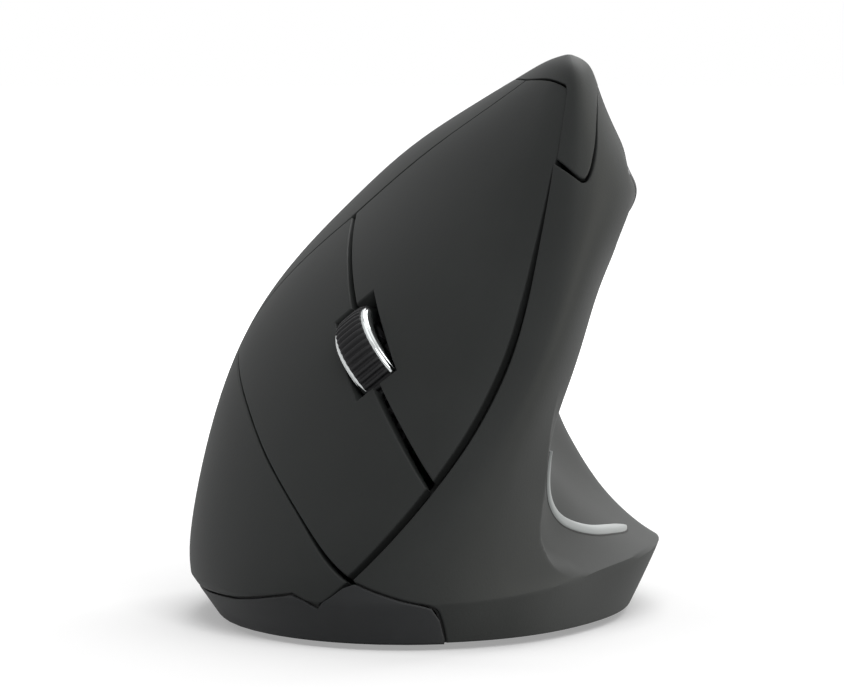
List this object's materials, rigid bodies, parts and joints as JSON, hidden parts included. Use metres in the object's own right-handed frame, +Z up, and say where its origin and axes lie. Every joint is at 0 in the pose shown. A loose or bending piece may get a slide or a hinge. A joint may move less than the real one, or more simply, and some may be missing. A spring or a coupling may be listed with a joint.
{
  "type": "vertical ergonomic mouse",
  "caption": "Leaning computer mouse for a right hand: flat base, thumb scoop with ledge, finger buttons either side of a scroll wheel, crest button and thumb buttons.",
  "frame": {"origin": "on the desk, under the centre of the overall box; z = 0 is the underside of the glide feet", "axes": "+X towards the thumb side, +Y from the nose to the tail, +Z up from the desk"},
  "size_m": [0.0621, 0.1198, 0.075],
  "materials": {
    "shell": "fine matte texture",
    "base_plastic": "matte",
    "key_plastic": "satin",
    "trim": "bright satin",
    "rim": "bright",
    "tyre_rubber": "matte ribbed",
    "hub_plastic": "plain",
    "board": "solder mask",
    "switch_plastic": "plain",
    "stem_plastic": "plain",
    "clear_plastic": "clear moulded",
    "steel": "plain",
    "contact_metal": "plated",
    "cell_can": "wrapped",
    "foot_slip": "smooth slip"
  },
  "bodies": {
    "base": {"base_case": "base_plastic", "palm_cover": "shell", "thumb_cover": "shell", "trim_strip": "trim", "inner_frame": "hub_plastic", "main_board": "board", "button_board": "board", "side_board": "board", "crest_board": "board", "left_switch": "switch_plastic", "right_switch": "switch_plastic", "wheel_switch": "switch_plastic", "crest_switch": "switch_plastic", "forward_switch": "switch_plastic", "back_switch": "switch_plastic", "wheel_emitter": "clear_plastic", "wheel_receiver": "switch_plastic", "motion_sensor": "switch_plastic", "sensor_lens": "clear_plastic", "radio_chip": "switch_plastic", "power_switch": "steel", "battery_cells": "cell_can", "battery_contacts": "contact_metal", "battery_springs": "steel", "glide_feet": "foot_slip", "case_screws": "steel"},
    "left": {"left_button": "shell"},
    "right": {"right_button": "shell"},
    "left_key": {"left_plunger": "stem_plastic"},
    "right_key": {"right_plunger": "stem_plastic"},
    "carrier": {"wheel_carrier": "hub_plastic"},
    "wheel": {"wheel_hub": "hub_plastic", "wheel_tyre": "tyre_rubber", "wheel_rims": "rim"},
    "wheel_pin": {"wheel_stem": "stem_plastic"},
    "crest": {"crest_button": "shell"},
    "crest_pin": {"crest_stem": "stem_plastic"},
    "forward": {"forward_button": "key_plastic"},
    "forward_pin": {"forward_stem": "stem_plastic"},
    "back": {"back_button": "key_plastic"},
    "back_pin": {"back_stem": "stem_plastic"},
    "slider": {"power_slider": "stem_plastic"},
    "door": {"battery_door": "base_plastic"}
  },
  "joints": [
    {"name": "left_press", "type": "hinge", "parent": "base", "child": "left", "pos_m": [-0.00878, -0.00437, 0.05227], "axis": [0.7376, -0.2734, 0.6174], "range_deg": [0, 0.65], "stiffness_Nm_per_rad": 2.2, "springref_deg": -0.23},
    {"name": "right_press", "type": "hinge", "parent": "base", "child": "right", "pos_m": [-0.00878, -0.00437, 0.05227], "axis": [0.7376, -0.2734, 0.6174], "range_deg": [0, 0.65], "stiffness_Nm_per_rad": 2.2, "springref_deg": -0.23},
    {"name": "left_plunge", "type": "slide", "parent": "base", "child": "left_key", "axis": [0.6528, 0.5226, -0.5484], "range_m": [0, 0.0005]},
    {"name": "right_plunge", "type": "slide", "parent": "base", "child": "right_key", "axis": [0.6528, 0.5226, -0.5484], "range_m": [0, 0.0005]},
    {"name": "wheel_click", "type": "slide", "parent": "base", "child": "carrier", "axis": [0.6528, 0.5226, -0.5484], "range_m": [0, 0.00025], "stiffness_N_per_m": 2000, "springref_m": -0.0002},
    {"name": "wheel_spin", "type": "hinge", "parent": "carrier", "child": "wheel", "pos_m": [-0.00469, -0.03304, 0.03464], "axis": [-0.7376, 0.2734, -0.6174], "continuous": true},
    {"name": "wheel_pin_press", "type": "slide", "parent": "base", "child": "wheel_pin", "axis": [0.6528, 0.5226, -0.5484], "range_m": [0, 0.00025]},
    {"name": "crest_press", "type": "slide", "parent": "base", "child": "crest", "axis": [0, 0.5, -0.866], "range_m": [0, 0.00025], "stiffness_N_per_m": 2000, "springref_m": -0.0002},
    {"name": "crest_pin_press", "type": "slide", "parent": "base", "child": "crest_pin", "axis": [0, 0.5, -0.866], "range_m": [0, 0.00025]},
    {"name": "forward_press", "type": "slide", "parent": "base", "child": "forward", "axis": [-1, -0.001, 0], "range_m": [0, 0.00025], "stiffness_N_per_m": 2000, "springref_m": -0.0002},
    {"name": "forward_pin_press", "type": "slide", "parent": "base", "child": "forward_pin", "axis": [-1, -0.001, 0], "range_m": [0, 0.00025]},
    {"name": "back_press", "type": "slide", "parent": "base", "child": "back", "axis": [-1, -0.001, 0], "range_m": [0, 0.00025], "stiffness_N_per_m": 2000, "springref_m": -0.0002},
    {"name": "back_pin_press", "type": "slide", "parent": "base", "child": "back_pin", "axis": [-1, -0.001, 0], "range_m": [0, 0.00025]},
    {"name": "power_slide", "type": "slide", "parent": "base", "child": "slider", "axis": [0, 1, 0], "range_m": [0, 0.002]},
    {"name": "door_swing", "type": "hinge", "parent": "base", "child": "door", "pos_m": [0.001, -0.00184, 0.0008], "axis": [-1, 0, 0], "range_deg": [0, 80]}
  ],
  "couplings": [
    {"joint": "left_plunge", "follows": "left_press", "m_per_rad": 0.0427},
    {"joint": "right_plunge", "follows": "right_press", "m_per_rad": 0.0427},
    {"joint": "wheel_pin_press", "follows": "wheel_click", "ratio": 1},
    {"joint": "crest_pin_press", "follows": "crest_press", "ratio": 1},
    {"joint": "forward_pin_press", "follows": "forward_press", "ratio": 1},
    {"joint": "back_pin_press", "follows": "back_press", "ratio": 1}
  ]
}
